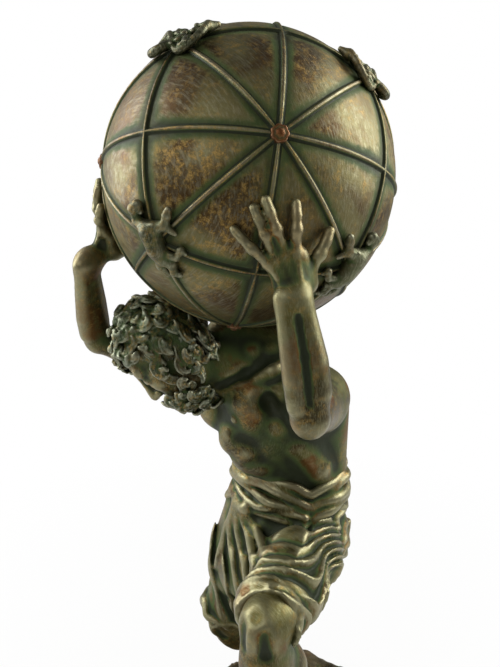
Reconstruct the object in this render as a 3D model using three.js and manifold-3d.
// Statuette of a bearded man in a long cloth who carries a banded globe on his
// neck and hands, one foot raised on a rock. Millimetres, Z up. The figure
// faces -Y, his left is +X, and the centre of the base's underside is the origin.
import * as THREE from 'three';
import { mergeVertices } from 'three/addons/utils/BufferGeometryUtils.js';
import loadManifold from 'manifold-3d';

const STATURE = 264; // height of the man if he stood straight
const GLOBE_RADIUS = 43.2;
const GLOBE_HEIGHT = 0.94; // centre above the ground, as a share of the stature
const BAND_WIDTH = 1.7;
const BAND_RISE = 0.8;
const BOSS_RADIUS = 2;
const BOSS_RISE = 1.5;
const RELIEF_SIZE = 13;
const BASE_HEIGHT = 12;
const BASE_LENGTH = 160;
const BASE_BREADTH = 116;
const LEDGE_HEIGHT = 60.5; // flat top of the rock, above the ground
const FIT_GAP = 0.35;
const SKIN_CELL = 1.7;
const FIGURE_FACES = 5100;
const GLOBE_FACES = 4700;
const PANEL_SIDES = 4; // flats along each edge of a globe panel
const RELIEF_FACES = 70;
const ROCK_FACES = 360;
const BASE_FACES = 600;

const wasm = await loadManifold();
wasm.setup();

const BRONZE = { color: 0x6b6144, metalness: 0.85, roughness: 0.42 };
const globeCentre = [-3, 0, BASE_HEIGHT + GLOBE_HEIGHT * STATURE];
const groundTop = BASE_HEIGHT;
const ledgeTop = BASE_HEIGHT + LEDGE_HEIGHT;

const add = (a, b) => [a[0] + b[0], a[1] + b[1], a[2] + b[2]];
const sub = (a, b) => [a[0] - b[0], a[1] - b[1], a[2] - b[2]];
const mul = (a, s) => [a[0] * s, a[1] * s, a[2] * s];
const dot = (a, b) => a[0] * b[0] + a[1] * b[1] + a[2] * b[2];
const cross = (a, b) => [a[1] * b[2] - a[2] * b[1], a[2] * b[0] - a[0] * b[2], a[0] * b[1] - a[1] * b[0]];
const size = (a) => Math.hypot(a[0], a[1], a[2]);
const unit = (a) => mul(a, 1 / size(a));
const between = (a, b, t) => add(a, mul(sub(b, a), t));

// Places and radii are shares of the stature, counted from the globe's centre.
const place = (x, y, z) => add(globeCentre, mul([x, y, z], STATURE));
const share = (s) => s * STATURE;

// A field gives the distance from a point to a surface, below zero inside it.
function cone(a, b, ra, rb, flat = null) {
  const [p, q, r, s] = [a, b, share(ra), share(rb)];
  const axis = sub(q, p);
  const long2 = dot(axis, axis) || 1e-9;
  const normal = flat ? unit(flat.along) : null;
  const squeeze = flat ? 1 / flat.by - 1 : 0;
  const middle = between(p, q, 0.5);
  return {
    middle,
    reach: Math.sqrt(long2) / 2 + Math.max(r, s),
    at(x, y, z) {
      let dx = x - p[0];
      let dy = y - p[1];
      let dz = z - p[2];
      const t = Math.min(1, Math.max(0, (dx * axis[0] + dy * axis[1] + dz * axis[2]) / long2));
      dx -= axis[0] * t;
      dy -= axis[1] * t;
      dz -= axis[2] * t;
      if (normal) {
        const w = (dx * normal[0] + dy * normal[1] + dz * normal[2]) * squeeze;
        dx += normal[0] * w;
        dy += normal[1] * w;
        dz += normal[2] * w;
      }
      return Math.sqrt(dx * dx + dy * dy + dz * dz) - (r + (s - r) * t);
    },
  };
}

function egg(centre, side, front, radii) {
  const e = unit(side);
  const up = unit(cross(e, front));
  const f = cross(up, e);
  const [a, b, c] = radii.map(share);
  return {
    middle: centre,
    reach: Math.max(a, b, c),
    at(x, y, z) {
      const d = [x - centre[0], y - centre[1], z - centre[2]];
      const [u, v, w] = [dot(d, e), dot(d, f), dot(d, up)];
      const k = Math.sqrt((u / a) ** 2 + (v / b) ** 2 + (w / c) ** 2);
      const g = Math.sqrt((u / a / a) ** 2 + (v / b / b) ** 2 + (w / c / c) ** 2);
      return g < 1e-9 ? -Math.min(a, b, c) : (k * (k - 1)) / g;
    },
  };
}

const ball = (centre, r) => cone(centre, centre, r, r);

function blend(shapes, soft) {
  return (x, y, z) => {
    let d = 60;
    for (const one of shapes) {
      const far = Math.hypot(x - one.middle[0], y - one.middle[1], z - one.middle[2]) - one.reach;
      if (far > d + soft) continue;
      const e = one.at(x, y, z);
      const h = Math.max(soft - Math.abs(d - e), 0) / soft;
      d = Math.min(d, e) - h * h * soft * 0.25;
    }
    return d;
  };
}

// Skins a field with triangles: each cell of a grid is split into six
// tetrahedra, so the skin is always closed.
const CORNERS = [0, 1, 2, 3, 4, 5, 6, 7].map((i) => [i & 1, (i >> 1) & 1, (i >> 2) & 1]);
const TETRAHEDRA = [[0, 1, 3, 7], [0, 1, 5, 7], [0, 2, 3, 7], [0, 2, 6, 7], [0, 4, 5, 7], [0, 4, 6, 7]];

function skin(field, low, high, cell) {
  const n = [0, 1, 2].map((i) => Math.ceil((high[i] - low[i]) / cell) + 1);
  const index = (i, j, k) => i + n[0] * (j + n[1] * k);
  const value = new Float32Array(n[0] * n[1] * n[2]).fill(9);
  const block = 5;
  for (let k = 0; k < n[2]; k += block) {
    for (let j = 0; j < n[1]; j += block) {
      for (let i = 0; i < n[0]; i += block) {
        const half = (block - 1) / 2;
        const mid = field(low[0] + (i + half) * cell, low[1] + (j + half) * cell, low[2] + (k + half) * cell);
        const near = Math.abs(mid) < block * cell * 1.35;
        for (let c = k; c < Math.min(n[2], k + block); c += 1) {
          for (let b = j; b < Math.min(n[1], j + block); b += 1) {
            for (let a = i; a < Math.min(n[0], i + block); a += 1) {
              const v = near ? field(low[0] + a * cell, low[1] + b * cell, low[2] + c * cell) : mid;
              value[index(a, b, c)] = Math.abs(v) < 0.02 ? 0.02 : v;
            }
          }
        }
      }
    }
  }
  const points = [];
  const made = new Map();
  const step = CORNERS.map(([i, j, k]) => index(i, j, k));
  function crossing(o, i, j, k, p, q) {
    const [s, t] = p < q ? [p, q] : [q, p];
    const key = (o + step[s]) * 8 + (t - s);
    if (made.has(key)) return made.get(key);
    const [u, v] = [value[o + step[s]], value[o + step[t]]];
    const w = Math.min(0.93, Math.max(0.07, u / (u - v)));
    const [f, g] = [CORNERS[s], CORNERS[t]];
    points.push([
      low[0] + (i + f[0] + (g[0] - f[0]) * w) * cell,
      low[1] + (j + f[1] + (g[1] - f[1]) * w) * cell,
      low[2] + (k + f[2] + (g[2] - f[2]) * w) * cell,
    ]);
    made.set(key, points.length - 1);
    return points.length - 1;
  }
  const faces = [];
  for (let k = 0; k < n[2] - 1; k += 1) {
    for (let j = 0; j < n[1] - 1; j += 1) {
      for (let i = 0; i < n[0] - 1; i += 1) {
        const o = index(i, j, k);
        const inside = step.map((s) => value[o + s] < 0);
        const count = inside.filter(Boolean).length;
        if (count === 0 || count === 8) continue;
        for (const tetra of TETRAHEDRA) {
          const within = tetra.filter((c) => inside[c]);
          const without = tetra.filter((c) => !inside[c]);
          if (!within.length || !without.length) continue;
          const cut = (p, q) => crossing(o, i, j, k, p, q);
          let ring;
          if (within.length === 2) {
            const [[a, b], [c, d]] = [within, without];
            ring = [cut(a, c), cut(a, d), cut(b, d), cut(b, c)];
          } else if (within.length === 1) {
            ring = without.map((c) => cut(within[0], c));
          } else {
            ring = within.map((c) => cut(c, without[0]));
          }
          const mean = (list) => mul(list.reduce((a, c) => add(a, CORNERS[c]), [0, 0, 0]), 1 / list.length);
          const outward = sub(mean(without), mean(within));
          const [a, b, c] = ring.map((v) => points[v]);
          const turned = dot(cross(sub(b, a), sub(c, a)), outward) < 0;
          const order = turned ? ring.slice().reverse() : ring;
          for (let t = 2; t < order.length; t += 1) faces.push([order[0], order[t - 1], order[t]]);
        }
      }
    }
  }
  return { points, faces };
}

// Keeps the widest closed shell of a skin, and leaves out bubbles inside it.
function outerShell({ points, faces }) {
  const group = points.map((_, v) => v);
  const root = (v) => {
    while (group[v] !== v) {
      group[v] = group[group[v]];
      v = group[v];
    }
    return v;
  };
  for (const [a, b, c] of faces) {
    group[root(b)] = root(a);
    group[root(c)] = root(a);
  }
  const count = new Map();
  for (const [a] of faces) count.set(root(a), (count.get(root(a)) || 0) + 1);
  const widest = [...count].sort((a, b) => b[1] - a[1])[0][0];
  return { points, faces: faces.filter(([a]) => root(a) === widest) };
}

// Thins a closed skin to the wanted number of triangles. Each time the edge
// goes whose loss moves the surface least, by the sum of squared distances to
// the planes of the triangles around it.
function thin({ points, faces }, wanted) {
  const around = points.map(() => new Set());
  const quadric = points.map(() => new Float64Array(10));
  faces.forEach(([a, b, c], f) => {
    const across = cross(sub(points[b], points[a]), sub(points[c], points[a]));
    const area = size(across);
    for (const v of [a, b, c]) around[v].add(f);
    if (area < 1e-9) return;
    const m = mul(across, 1 / area);
    const w = -dot(m, points[a]);
    const plane = [...m, w];
    let at = 0;
    for (let i = 0; i < 4; i += 1) {
      for (let j = i; j < 4; j += 1) {
        for (const v of [a, b, c]) quadric[v][at] += plane[i] * plane[j] * area;
        at += 1;
      }
    }
  });
  const price = (q, [x, y, z]) => q[0] * x * x + 2 * q[1] * x * y + 2 * q[2] * x * z + 2 * q[3] * x
    + q[4] * y * y + 2 * q[5] * y * z + 2 * q[6] * y + q[7] * z * z + 2 * q[8] * z + q[9];
  const heap = [];
  const version = new Int32Array(points.length);
  function rise(i) {
    const item = heap[i];
    while (i > 0) {
      const up = (i - 1) >> 1;
      if (heap[up].cost <= item.cost) break;
      heap[i] = heap[up];
      i = up;
    }
    heap[i] = item;
  }
  function sink(i) {
    const item = heap[i];
    for (;;) {
      let down = 2 * i + 1;
      if (down >= heap.length) break;
      if (down + 1 < heap.length && heap[down + 1].cost < heap[down].cost) down += 1;
      if (heap[down].cost >= item.cost) break;
      heap[i] = heap[down];
      i = down;
    }
    heap[i] = item;
  }
  function offer(a, b) {
    const q = quadric[a].map((v, i) => v + quadric[b][i]);
    const m = [q[0], q[1], q[2], q[4], q[5], q[7]];
    const det = m[0] * (m[3] * m[5] - m[4] * m[4]) - m[1] * (m[1] * m[5] - m[4] * m[2])
      + m[2] * (m[1] * m[4] - m[3] * m[2]);
    const gap = size(sub(points[a], points[b]));
    const choices = [between(points[a], points[b], 0.5), points[a], points[b]];
    const bulk = q[0] + q[4] + q[7];
    if (Math.abs(det) > 1e-4 * bulk ** 3) {
      const r = [-q[3], -q[6], -q[8]];
      const x = (r[0] * (m[3] * m[5] - m[4] * m[4]) - m[1] * (r[1] * m[5] - m[4] * r[2])
        + m[2] * (r[1] * m[4] - m[3] * r[2])) / det;
      const y = (m[0] * (r[1] * m[5] - r[2] * m[4]) - r[0] * (m[1] * m[5] - m[4] * m[2])
        + m[2] * (m[1] * r[2] - r[1] * m[2])) / det;
      const z = (m[0] * (m[3] * r[2] - m[4] * r[1]) - m[1] * (m[1] * r[2] - r[1] * m[2])
        + r[0] * (m[1] * m[4] - m[3] * m[2])) / det;
      const best = [x, y, z];
      if (size(sub(best, choices[0])) < 2 * gap) choices.push(best);
    }
    let [to, cost] = [null, Infinity];
    for (const c of choices) {
      const p = Math.max(0, price(q, c)) + 1e-3 * gap * gap * gap;
      if (p < cost) [to, cost] = [c, p];
    }
    heap.push({ cost, a, b, to, va: version[a], vb: version[b] });
    rise(heap.length - 1);
  }
  faces.forEach(([a, b, c]) => {
    if (a < b) offer(a, b);
    if (b < c) offer(b, c);
    if (c < a) offer(c, a);
  });
  const neighbours = (v) => {
    const all = new Set();
    for (const f of around[v]) for (const u of faces[f]) if (u !== v) all.add(u);
    return all;
  };
  function flips(v, other, to) {
    for (const f of around[v]) {
      if (faces[f].includes(other)) continue;
      const old = faces[f].map((u) => points[u]);
      const fresh = faces[f].map((u) => (u === v ? to : points[u]));
      const before = cross(sub(old[1], old[0]), sub(old[2], old[0]));
      const after = cross(sub(fresh[1], fresh[0]), sub(fresh[2], fresh[0]));
      const longest = Math.max(size(sub(fresh[1], fresh[0])), size(sub(fresh[2], fresh[1])), size(sub(fresh[0], fresh[2])));
      if (size(after) < 0.04 * longest * longest || size(after) < 0.01) return true;
      if (size(before) > 1e-3 && dot(before, after) < 0.3 * size(before) * size(after)) return true;
    }
    return false;
  }
  let left = faces.length;
  while (left > wanted && heap.length) {
    const edge = heap[0];
    const last = heap.pop();
    if (heap.length) {
      heap[0] = last;
      sink(0);
    }
    const { a, b, to } = edge;
    if (edge.va !== version[a] || edge.vb !== version[b]) continue;
    const [na, nb] = [neighbours(a), neighbours(b)];
    const both = [...na].filter((u) => nb.has(u));
    if (both.length !== 2 || both.some((u) => around[u].size < 4)) continue;
    if (flips(a, b, to) || flips(b, a, to)) continue;
    points[a] = to;
    for (let i = 0; i < 10; i += 1) quadric[a][i] += quadric[b][i];
    for (const f of around[b]) {
      if (faces[f].includes(a)) {
        for (const u of faces[f]) if (u !== b) around[u].delete(f);
        faces[f] = null;
        left -= 1;
      } else {
        faces[f] = faces[f].map((u) => (u === b ? a : u));
        around[a].add(f);
      }
    }
    around[b].clear();
    version[b] = -1;
    version[a] += 1;
    for (const u of neighbours(a)) {
      version[u] += 1;
    }
    const again = new Set();
    for (const u of neighbours(a)) {
      for (const w of neighbours(u)) again.add(u < w ? `${u},${w}` : `${w},${u}`);
    }
    for (const pair of again) offer(...pair.split(',').map(Number));
  }
  return { points, faces: faces.filter(Boolean) };
}

function geometryOf({ points, faces }) {
  const geometry = new THREE.BufferGeometry();
  const places = new Float32Array(faces.length * 9);
  faces.flat().forEach((v, i) => places.set(points[v], i * 3));
  geometry.setAttribute('position', new THREE.BufferAttribute(places, 3));
  return geometry;
}

function solidOf(geometry) {
  const joined = mergeVertices(geometry, 1e-4);
  return new wasm.Manifold(new wasm.Mesh({
    numProp: 3,
    vertProperties: Float32Array.from(joined.attributes.position.array),
    triVerts: Uint32Array.from(joined.index.array),
  }));
}

function geometryOfSolid(solid, wanted) {
  const { vertProperties, triVerts, numProp } = solid.getMesh();
  const points = [];
  for (let i = 0; i < vertProperties.length; i += numProp) points.push([...vertProperties.slice(i, i + 3)]);
  const faces = [];
  for (let i = 0; i < triVerts.length; i += 3) faces.push([...triVerts.slice(i, i + 3)]);
  return geometryOf(thin(outerShell({ points, faces }), wanted));
}

// Joints of the pose.
const neck = place(-0.007, 0, -0.213);
const chest = place(-0.01, 0.044, -0.291);
const waist = place(0.031, 0.053, -0.402);
const pelvis = place(0.018, 0.084, -0.485);
const headMiddle = place(-0.073, -0.074, -0.203);
const limbs = {
  left: {
    hip: place(0.062, 0.076, -0.483),
    knee: place(0.14, -0.138, -0.437),
    ankle: place(0.14, -0.115, -0.671),
    toe: [0.12, -1, 0],
    ground: ledgeTop,
    shoulder: place(0.086, 0.03, -0.252),
    elbow: place(0.155, -0.092, -0.224),
    wrist: place(0.14, -0.1, -0.099),
    palm: [0.741, -0.553, -0.381],
    fingers: [0.049, -0.521, 0.852],
    thumb: [0.67, 0.65, 0.359],
  },
  right: {
    hip: place(-0.032, 0.084, -0.485),
    knee: place(-0.104, 0.049, -0.71),
    ankle: place(-0.104, 0.18, -0.89),
    toe: [-0.1, -1, 0],
    ground: groundTop,
    shoulder: place(-0.118, 0.03, -0.238),
    elbow: place(-0.183, -0.096, -0.205),
    wrist: place(-0.133, -0.137, -0.09),
    palm: [-0.74, -0.6, -0.31],
    fingers: [-0.049, -0.421, 0.852],
    thumb: [-0.67, 0.65, 0.359],
  },
};
const torsoSide = [1, 0.06, 0.02];
const torsoFront = [-0.05, -1, -0.1];

function torso() {
  const shapes = [
    egg(place(-0.002, 0.038, -0.298), torsoSide, torsoFront, [0.088, 0.062, 0.088]),
    egg(place(0.03, 0.056, -0.395), torsoSide, torsoFront, [0.06, 0.046, 0.075]),
    egg(add(pelvis, mul([0, 0.004, 0], STATURE)), torsoSide, torsoFront, [0.08, 0.062, 0.062]),
    cone(place(-0.003, 0.03, -0.235), place(-0.045, -0.038, -0.222), 0.042, 0.034),
    cone(add(waist, [0, 1.5, 0]), add(chest, [1, 1, 0]), 0.05, 0.056),
  ];
  for (const way of [-1, 1]) {
    const shoulder = way > 0 ? limbs.left.shoulder : limbs.right.shoulder;
    shapes.push(egg(place(-0.012 + way * 0.046, -0.018, -0.29), torsoSide, torsoFront, [0.046, 0.022, 0.034]));
    shapes.push(cone(place(-0.005, 0.035, -0.218), shoulder, 0.03, 0.026));
    shapes.push(cone(place(-0.01 + way * 0.07, 0.06, -0.29), place(0.026 + way * 0.045, 0.066, -0.39), 0.032, 0.024));
    shapes.push(egg(place(0.016 + way * 0.042, 0.106, -0.5), torsoSide, torsoFront, [0.048, 0.044, 0.05]));
  }
  return shapes;
}

function arm({ shoulder, elbow, wrist }) {
  const outward = unit(sub(elbow, globeCentre));
  return [
    ball(shoulder, 0.035),
    cone(shoulder, elbow, 0.031, 0.025),
    cone(between(shoulder, elbow, 0.3), between(shoulder, elbow, 0.7), 0.034, 0.03),
    cone(elbow, wrist, 0.021, 0.0165),
    cone(add(between(elbow, wrist, 0.15), mul(outward, 0.6)), between(elbow, wrist, 0.5), 0.0245, 0.0195),
  ];
}

// Points of a hand lie on the globe: across to the thumb and along to the
// fingertips, both in radians from the middle of the palm.
const DIGITS = [
  { root: [-0.085, 0.05], tip: [-0.2, 0.26], thick: 0.0055 },
  { root: [-0.052, 0.057], tip: [-0.062, 0.335], thick: 0.006 },
  { root: [0, 0.058], tip: [0.004, 0.35], thick: 0.0062 },
  { root: [0.078, 0.044], tip: [0.156, 0.268], thick: 0.0062 },
  { root: [0.11, -0.091], tip: [0.283, 0.037], thick: 0.0068 },
];

function hand({ wrist, palm, fingers, thumb }) {
  const middle = unit(palm);
  const across = unit(sub(thumb, mul(middle, dot(thumb, middle))));
  const side = dot(cross(fingers, middle), across) > 0 ? 1 : -1;
  const along = mul(cross(middle, across), side);
  const on = ([s, t], lift) => {
    const turn = Math.hypot(s, t) || 1e-9;
    const way = add(mul(across, s / turn), mul(along, t / turn));
    const out = add(mul(middle, Math.cos(turn)), mul(way, Math.sin(turn)));
    return add(globeCentre, mul(out, GLOBE_RADIUS + lift));
  };
  const flat = { along: middle, by: 0.6 };
  const shapes = [
    cone(wrist, on([0, -0.06], 3.8), 0.017, 0.018, flat),
    cone(on([-0.045, 0], 3), on([0.04, -0.01], 3), 0.016, 0.018, flat),
  ];
  for (const { root, tip, thick } of DIGITS) {
    const bend = [root[0] + (tip[0] - root[0]) * 0.5, root[1] + (tip[1] - root[1]) * 0.5];
    shapes.push(cone(on(root, 3.2), on(bend, 3.4), thick * 1.25, thick * 1.1));
    shapes.push(cone(on(bend, 3.4), on(tip, 2), thick * 1.1, thick * 0.9));
  }
  return shapes;
}

function bareLeg({ knee, ankle, toe, ground }) {
  const back = unit(cross(sub(ankle, knee), [1, 0.1, 0]));
  const calf = add(between(knee, ankle, 0.3), mul(back, share(0.012) * Math.sign(back[1])));
  const forward = unit(toe);
  const heel = add(ankle, [0, share(0.016), 0]);
  const sole = (from, reach) => {
    const p = add(from, mul(forward, share(reach)));
    return [p[0], p[1], ground + share(0.013)];
  };
  return {
    shin: [
      ball(knee, 0.029),
      cone(knee, ankle, 0.0255, 0.018),
      cone(calf, between(knee, ankle, 0.62), 0.031, 0.02),
      cone(calf, knee, 0.029, 0.025),
    ],
    foot: [
      cone(ankle, sole(ankle, 0.075), 0.02, 0.0165),
      cone([heel[0], heel[1], Math.max(ground + share(0.016), ankle[2] - share(0.034))], sole(ankle, 0.05), 0.0185, 0.019),
      cone(sole(ankle, 0.07), sole(ankle, 0.105), 0.018, 0.011),
    ],
  };
}

// The head looks down and to the man's right.
const headUp = unit([-0.664, -0.364, 0.599]);
const headFront = unit([-0.331, -0.534, -0.696]);
const headSide = cross(headFront, headUp);
const onHead = (side, front, up) => add(headMiddle, add(mul(headSide, share(side)),
  add(mul(headFront, share(front)), mul(headUp, share(up)))));

function head() {
  const shapes = [
    egg(onHead(0, -0.004, 0.012), headSide, headFront, [0.043, 0.051, 0.05]),
    egg(onHead(0, 0.014, -0.03), headSide, headFront, [0.033, 0.034, 0.038]),
    cone(onHead(0, 0.046, 0.012), onHead(0, 0.058, -0.012), 0.006, 0.009),
    cone(onHead(-0.018, 0.04, 0.018), onHead(0.018, 0.04, 0.018), 0.01, 0.01),
  ];
  return shapes;
}

// Locks of the hair and beard sit on a spiral over the skull and jaw.
function locks(count) {
  const shapes = [];
  for (let i = 0; i < count; i += 1) {
    const up = 1 - (2 * (i + 0.5)) / count;
    const turn = i * 2.39996;
    const [s, f] = [Math.sin(turn) * Math.sqrt(1 - up * up), Math.cos(turn) * Math.sqrt(1 - up * up)];
    const onFace = f > 0.42 && up < 0.5 && Math.abs(s) < 0.75 && up > -0.45;
    if (onFace || (up < -0.55 && f < 0)) continue;
    const drop = up < 0 ? 0.034 * -up : 0;
    const grow = i % 3 === 0 ? 0.0035 : 0;
    shapes.push(ball(onHead(s * (0.047 + grow), f * (0.054 + grow) - 0.004 + drop * 0.6, up * 0.052 + 0.012 - drop), 0.0125 + grow));
  }
  return shapes;
}

// The cloth: one wrap for each thigh and one between and behind them, with
// folds that follow each thigh, and a rolled edge round the waist.
function wave(a) {
  return 0.5 + 0.5 * Math.sin(a);
}

function clothField() {
  const { left, right } = limbs;
  const hemLeft = between(left.hip, left.knee, 0.93);
  const hemRight = between(right.hip, right.knee, 0.84);
  const wraps = blend([
    cone(add(left.hip, [0, 0, 1]), hemLeft, 0.052, 0.038),
    cone(right.hip, hemRight, 0.054, 0.046),
    cone(between(left.hip, left.knee, 0.55), between(right.hip, right.knee, 0.5), 0.036, 0.04),
    cone(between(left.hip, left.knee, 0.25), add(between(right.hip, right.knee, 0.75), [share(0.05), share(0.02), 0]), 0.04, 0.034),
    cone(add(pelvis, [0, share(0.045), share(-0.02)]), add(between(right.hip, right.knee, 0.86), [share(0.035), share(0.05), 0]), 0.05, 0.03),
    egg(add(pelvis, [share(-0.002), share(-0.004), 0]), torsoSide, torsoFront, [0.083, 0.072, 0.07]),
    cone(add(waist, [0, share(0.006), share(-0.008)]), pelvis, 0.056, 0.066),
  ], share(0.03));
  const leftAxis = unit(sub(left.knee, left.hip));
  const rightAxis = unit(sub(right.knee, right.hip));
  const rightSide = unit(cross(rightAxis, [0, 1, 0]));
  const rightFront = cross(rightSide, rightAxis);
  return (x, y, z) => {
    const d = wraps(x, y, z);
    if (Math.abs(d) > 9) return d;
    const p = [x, y, z];
    const l = sub(p, left.hip);
    const alongLeft = dot(l, leftAxis);
    const offLeft = size(sub(l, mul(leftAxis, alongLeft)));
    const sag = (p[2] - left.hip[2] - alongLeft * leftAxis[2]) * 0.55;
    const r = sub(p, right.hip);
    const alongRight = dot(r, rightAxis);
    const angle = Math.atan2(dot(r, rightSide), dot(r, rightFront));
    const share1 = Math.min(1, Math.max(0, (share(0.11) - offLeft) / share(0.05))) * Math.min(1, Math.max(0, alongLeft / 18));
    const ringFold = wave((alongLeft - sag) / 1.9) * share1;
    const longFold = wave(angle * 9 + alongRight * 0.05) * (1 - share1);
    return d + 1.5 - 2.4 * (ringFold + longFold);
  };
}

function waistRoll() {
  const shapes = [];
  const ring = 22;
  const middle = add(waist, [0, share(0.006), share(0.012)]);
  const spot = (i) => {
    const turn = (i / ring) * Math.PI * 2;
    const [s, f] = [Math.cos(turn), Math.sin(turn)];
    const dip = -0.028 * Math.max(0, -f) + 0.012 * f;
    return add(middle, [share(s * 0.068), share(f * 0.056), share(dip + 0.016 * s)]);
  };
  for (let i = 0; i < ring; i += 1) shapes.push(cone(spot(i), spot(i + 1), i % 2 ? 0.012 : 0.016, i % 2 ? 0.016 : 0.012));
  return shapes;
}

function figureField() {
  const clear = GLOBE_RADIUS + BAND_RISE + FIT_GAP;
  const legs = [bareLeg(limbs.left), bareLeg(limbs.right)];
  const flesh = blend([
    ...torso(),
    ...arm(limbs.left),
    ...arm(limbs.right),
    ...legs.flatMap((leg) => leg.shin),
  ], 5);
  const feet = legs.map((leg, i) => {
    const foot = blend([...leg.foot, leg.shin[1]], 4);
    const floor = (i === 0 ? limbs.left : limbs.right).ground + FIT_GAP;
    return (x, y, z) => Math.max(foot(x, y, z), floor - z);
  });
  const hands = blend([...hand(limbs.left), ...hand(limbs.right)], 1.6);
  const face = blend(head(), 2.5);
  const hair = blend(locks(110), 1.2);
  const cloth = clothField();
  const roll = blend(waistRoll(), 1.5);
  const meet = (a, b, soft) => {
    const h = Math.max(soft - Math.abs(a - b), 0) / soft;
    return Math.min(a, b) - h * h * soft * 0.25;
  };
  return (x, y, z) => {
    let d = meet(flesh(x, y, z), hands(x, y, z), 3);
    d = meet(d, feet[0](x, y, z), 2);
    d = meet(d, feet[1](x, y, z), 2);
    d = meet(d, face(x, y, z), 3);
    d = Math.min(d, hair(x, y, z), cloth(x, y, z), roll(x, y, z));
    const fromGlobe = clear - Math.hypot(x - globeCentre[0], y - globeCentre[1], z - globeCentre[2]);
    return Math.max(d, fromGlobe);
  };
}

// The globe: one of its 48 like triangles, from a pole (4 bands cross) to the
// middle between two poles and to a corner (3 bands cross), is made with the
// half bands on its sides, and mirrored round.
function globePanels(sides) {
  const pole = [0, 0, 1];
  const edge = unit([0, 1, 1]);
  const corner = unit([1, 1, 1]);
  const tri = [pole, edge, corner];
  const inward = tri.map((a, i) => {
    const m = unit(cross(a, tri[(i + 1) % 3]));
    return dot(m, tri[(i + 2) % 3]) > 0 ? m : mul(m, -1);
  });
  const shrunk = (offset) => tri.map((a, i) => {
    const [m, k] = [inward[i], inward[(i + 2) % 3]];
    const c = dot(m, k);
    const s = offset / GLOBE_RADIUS / (1 + c);
    const base = mul(add(m, k), s);
    const up = unit(cross(m, k));
    const lift = Math.sqrt(1 - dot(base, base)) * Math.sign(dot(up, a));
    return add(base, mul(up, lift));
  });
  const side = (list, i, t) => unit(between(list[i], list[(i + 1) % 3], t));
  const top = shrunk(BAND_WIDTH / 2);
  const foot = shrunk(BAND_WIDTH / 2 + 0.25);
  const [high, low] = [GLOBE_RADIUS + BAND_RISE, GLOBE_RADIUS];
  const faces = [];
  const quad = (a, b, c, d) => faces.push([a, b, c], [a, c, d]);
  for (let i = 0; i < 3; i += 1) {
    for (let n = 0; n < sides; n += 1) {
      const [t, u] = [n / sides, (n + 1) / sides];
      const lines = [[tri, high], [top, high], [foot, low]].map(([list, r]) => [mul(side(list, i, t), r), mul(side(list, i, u), r)]);
      quad(lines[0][0], lines[0][1], lines[1][1], lines[1][0]);
      quad(lines[1][0], lines[1][1], lines[2][1], lines[2][0]);
    }
  }
  const spot = (i, j) => {
    const [a, b, c] = [sides - i - j, i, j];
    if (c === 0) return mul(side(foot, 0, i / sides), low);
    if (a === 0) return mul(side(foot, 1, j / sides), low);
    if (b === 0) return mul(side(foot, 2, 1 - j / sides), low);
    return mul(unit(add(add(mul(foot[0], a), mul(foot[1], b)), mul(foot[2], c))), low);
  };
  for (let i = 0; i < sides; i += 1) {
    for (let j = 0; j < sides - i; j += 1) {
      faces.push([spot(i, j), spot(i + 1, j), spot(i, j + 1)]);
      if (i + j < sides - 1) faces.push([spot(i + 1, j), spot(i + 1, j + 1), spot(i, j + 1)]);
    }
  }
  const all = [];
  for (const order of [[0, 1, 2], [1, 2, 0], [2, 0, 1], [0, 2, 1], [2, 1, 0], [1, 0, 2]]) {
    for (const sx of [-1, 1]) {
      for (const sy of [-1, 1]) {
        for (const sz of [-1, 1]) {
          for (const face of faces) {
            const moved = face.map((p) => [p[order[0]] * sx, p[order[1]] * sy, p[order[2]] * sz]);
            const across = cross(sub(moved[1], moved[0]), sub(moved[2], moved[0]));
            all.push(dot(across, moved[0]) > 0 ? moved : moved.slice().reverse());
          }
        }
      }
    }
  }
  return { points: all.flat(), faces: all.map((f, i) => [3 * i, 3 * i + 1, 3 * i + 2]) };
}

// Two kinds of relief figure take turns on the corners: a four-legged beast
// that rears up, and a coiled serpent.
function beastField() {
  const s = RELIEF_SIZE / 13;
  const spot = (x, y, z) => [x * s, y * s, z * s];
  const part = (a, b, ra, rb) => cone(spot(...a), spot(...b), (ra * s) / STATURE, (rb * s) / STATURE);
  return blend([
    part([-3, -1, 0.6], [2.5, 1.5, 0.8], 2.3, 2.1),
    part([2.5, 1.5, 1], [5, 4.6, 1.6], 1.5, 1.2),
    part([5, 4.6, 1.8], [7, 4.2, 1.4], 1.5, 0.9),
    part([2.8, 0.6, 0.5], [5.6, -1.8, 0.3], 1.1, 0.8),
    part([-3.4, -1.8, 0.5], [-4.2, -5.4, 0.3], 1.3, 0.9),
    part([-2.4, -1.8, 0.5], [-0.6, -5.2, 0.3], 1.2, 0.9),
    part([-4.6, 0.2, 0.5], [-6.6, 3.2, 0.3], 0.9, 0.8),
  ], 1);
}

function serpentField() {
  const shapes = [];
  const spot = (t) => [(0.9 + 0.34 * t) * Math.cos(t) * 1.6, (0.9 + 0.34 * t) * Math.sin(t) * 1.6, 0.6];
  for (let t = 0; t < 8.2; t += 0.9) {
    shapes.push(cone(mul(spot(t), RELIEF_SIZE / 13), mul(spot(t + 0.9), RELIEF_SIZE / 13), (1.6 - 0.08 * t) / STATURE, (1.5 - 0.08 * t) / STATURE));
  }
  return blend(shapes, 0.6);
}

// Columns turn the globe so that its first pole looks at the front and left.
const globeTurn = new THREE.Matrix4().makeBasis(
  new THREE.Vector3(0.66, 0.738, -0.146).normalize(),
  new THREE.Vector3(-0.109, 0.286, 0.952).normalize(),
  new THREE.Vector3(0.744, -0.612, 0.269).normalize(),
);

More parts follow.
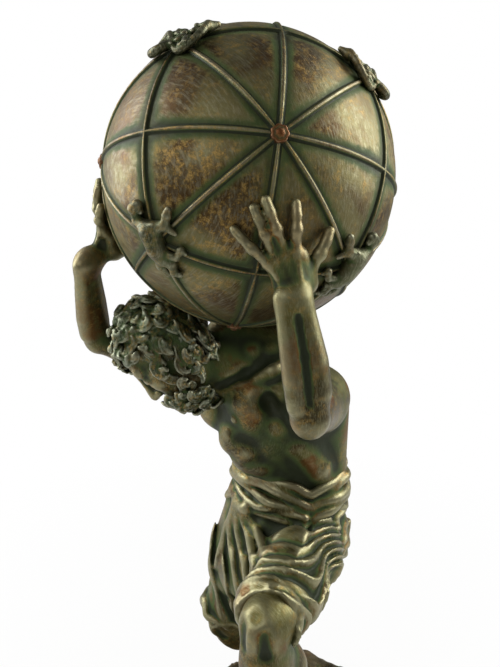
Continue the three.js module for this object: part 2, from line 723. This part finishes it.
function globeGeometry() {
  let solid = solidOf(geometryOf(globePanels(PANEL_SIDES)));
  const stamp = (shape, way, spin, lift) => {
    const out = new THREE.Vector3(...way).normalize();
    const turn = new THREE.Quaternion().setFromUnitVectors(new THREE.Vector3(0, 0, 1), out);
    const twist = new THREE.Quaternion().setFromAxisAngle(new THREE.Vector3(0, 0, 1), spin);
    const move = new THREE.Matrix4().compose(out.clone().multiplyScalar(GLOBE_RADIUS + lift), turn.multiply(twist), new THREE.Vector3(1, 1, 1));
    solid = solid.add(solidOf(shape.clone().applyMatrix4(move)));
  };
  const creatures = [beastField(), serpentField()].map((field) => {
    const bound = RELIEF_SIZE * 0.75;
    return geometryOf(thin(skin((x, y, z) => Math.max(field(x, y, z), -1.2 - z), [-bound, -bound, -3], [bound, bound, 4.5], 0.8), RELIEF_FACES));
  });
  const boss = new THREE.CylinderGeometry(BOSS_RADIUS * 0.6, BOSS_RADIUS, BOSS_RISE * 2, 8);
  boss.rotateX(Math.PI / 2);
  boss.deleteAttribute('normal');
  boss.deleteAttribute('uv');
  for (const axis of [[1, 0, 0], [0, 1, 0], [0, 0, 1]]) {
    for (const way of [1, -1]) stamp(boss, mul(axis, way), 0, 0);
  }
  let count = 0;
  for (const x of [-1, 1]) {
    for (const y of [-1, 1]) {
      for (const z of [-1, 1]) {
        stamp(creatures[x * y * z > 0 ? 0 : 1], [x, y, z], count * 1.1, 0.4);
        count += 1;
      }
    }
  }
  const geometry = geometryOfSolid(solid, GLOBE_FACES);
  geometry.applyMatrix4(globeTurn);
  geometry.translate(...globeCentre);
  return geometry;
}

// The base: a low oval plinth with a rough rim, and the rock under the left foot.
function baseGeometry() {
  const rim = 44;
  const rings = [[0, 1], [BASE_HEIGHT * 0.72, 0.985], [BASE_HEIGHT, 0.95]];
  const points = [];
  for (const [z, grow] of rings) {
    for (let i = 0; i < rim; i += 1) {
      const turn = (i / rim) * Math.PI * 2;
      const rough = 1 + 0.012 * Math.sin(turn * 7 + 1) + 0.009 * Math.sin(turn * 13);
      const square = (Math.abs(Math.cos(turn)) ** 2.8 + Math.abs(Math.sin(turn)) ** 2.8) ** (-1 / 2.8);
      const [wide, long] = [(BASE_BREADTH / 2) * square, (BASE_LENGTH / 2) * square];
      points.push([Math.cos(turn) * wide * grow * rough, Math.sin(turn) * long * grow * rough, z]);
    }
  }
  const faces = [];
  for (let k = 0; k < rings.length - 1; k += 1) {
    for (let i = 0; i < rim; i += 1) {
      const j = (i + 1) % rim;
      const [a, b, c, d] = [k * rim + i, k * rim + j, (k + 1) * rim + j, (k + 1) * rim + i];
      faces.push([a, b, c], [a, c, d]);
    }
  }
  for (const [start, turned] of [[0, true], [(rings.length - 1) * rim, false]]) {
    for (let i = 1; i < rim - 1; i += 1) faces.push(turned ? [start, start + i + 1, start + i] : [start, start + i, start + i + 1]);
  }
  const { ankle } = limbs.left;
  const rockMiddle = [ankle[0] - 1, ankle[1] - 11, 0];
  const rockField = (x, y, z) => {
    const t = (z - BASE_HEIGHT) / LEDGE_HEIGHT;
    const [dx, dy] = [(x - rockMiddle[0]) / 1, (y - rockMiddle[1]) / 1.22];
    const turn = Math.atan2(dy, dx);
    const step = 1.7 * Math.sin(z * 0.33 + 2 * Math.sin(turn * 2));
    const wide = 16 + 8 * (1 - t) ** 2 + 2 * Math.sin(turn * 3 + z * 0.05) + 1.8 * Math.sin(turn * 5 - z * 0.09) + step;
    const round = Math.hypot(dx, dy) - wide;
    const rim = Math.hypot(Math.abs(x / (BASE_BREADTH / 2 - 4)) ** 1.4, Math.abs(y / (BASE_LENGTH / 2 - 4)) ** 1.4) - 1;
    return Math.max(round * 0.8, rim * 40, z - ledgeTop, BASE_HEIGHT - 5 - z);
  };
  const low = [rockMiddle[0] - 45, rockMiddle[1] - 50, BASE_HEIGHT - 9];
  const rock = thin(skin(rockField, low, [rockMiddle[0] + 45, rockMiddle[1] + 50, ledgeTop + 3], 2.5), ROCK_FACES);
  const plinth = solidOf(geometryOf({ points, faces }));
  return geometryOfSolid(plinth.add(solidOf(geometryOf(rock))), BASE_FACES);
}

function figureGeometry() {
  const low = [-68, -72, groundTop - 3];
  const high = [68, 74, globeCentre[2] + 18];
  return geometryOf(thin(outerShell(skin(figureField(), low, high, SKIN_CELL)), FIGURE_FACES));
}

const group = new THREE.Group();
function piece(name, geometry) {
  const mesh = new THREE.Mesh(geometry, new THREE.MeshStandardMaterial(BRONZE));
  mesh.name = name;
  group.add(mesh);
}

piece('atlas', figureGeometry());
piece('globe', globeGeometry());
piece('base', baseGeometry());

export default group;
